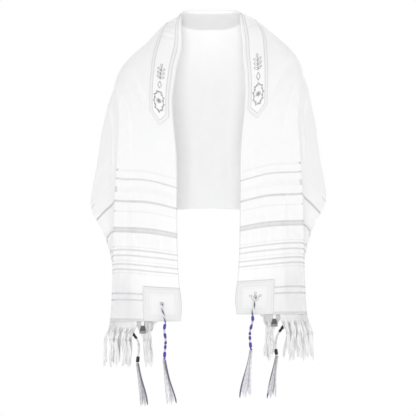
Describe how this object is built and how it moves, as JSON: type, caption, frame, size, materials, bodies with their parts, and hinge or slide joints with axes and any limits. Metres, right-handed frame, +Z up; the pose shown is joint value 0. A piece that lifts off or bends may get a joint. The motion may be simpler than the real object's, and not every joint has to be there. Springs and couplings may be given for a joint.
{
  "type": "tallit prayer shawl",
  "caption": "White woven prayer shawl with silver stripes, neckband, corner patches, fringe and knotted corner tassels, draped as if worn over neck and shoulders.",
  "frame": {"origin": "middle of the neck hollow at the height of the shoulders, where the wearer's neck and shoulders carry the cloth", "axes": "+Z up, the front panels face -Y, +X is the wearer's left side (the right side of the picture)"},
  "size_m": [0.597, 0.3104, 1.0145],
  "materials": {
    "woven_white": "matt woven cloth with silver stripes",
    "satin_white": "satin weave with grey embroidery",
    "fringe_white": "twisted loose yarn",
    "thread_white_blue": "white cord wound with deep blue thread",
    "thread_white_dark": "white cord with near-black knots",
    "tag_grey": "dark woven label tape"
  },
  "bodies": {
    "root": {"cloth_back": "woven_white", "cloth_left_front": "woven_white", "cloth_right_front": "woven_white", "atara": "satin_white", "corner_patch_front_left": "satin_white", "corner_patch_front_right": "satin_white", "corner_patch_rear_left": "satin_white", "corner_patch_rear_right": "satin_white", "fringe_left": "fringe_white", "fringe_right": "fringe_white", "tzitzit_front_left": "thread_white_blue", "tzitzit_front_right": "thread_white_blue", "tzitzit_rear_left": "thread_white_dark", "tzitzit_rear_right": "thread_white_dark", "hem_tag_left": "tag_grey", "hem_tag_right": "tag_grey"}
  },
  "joints": []
}
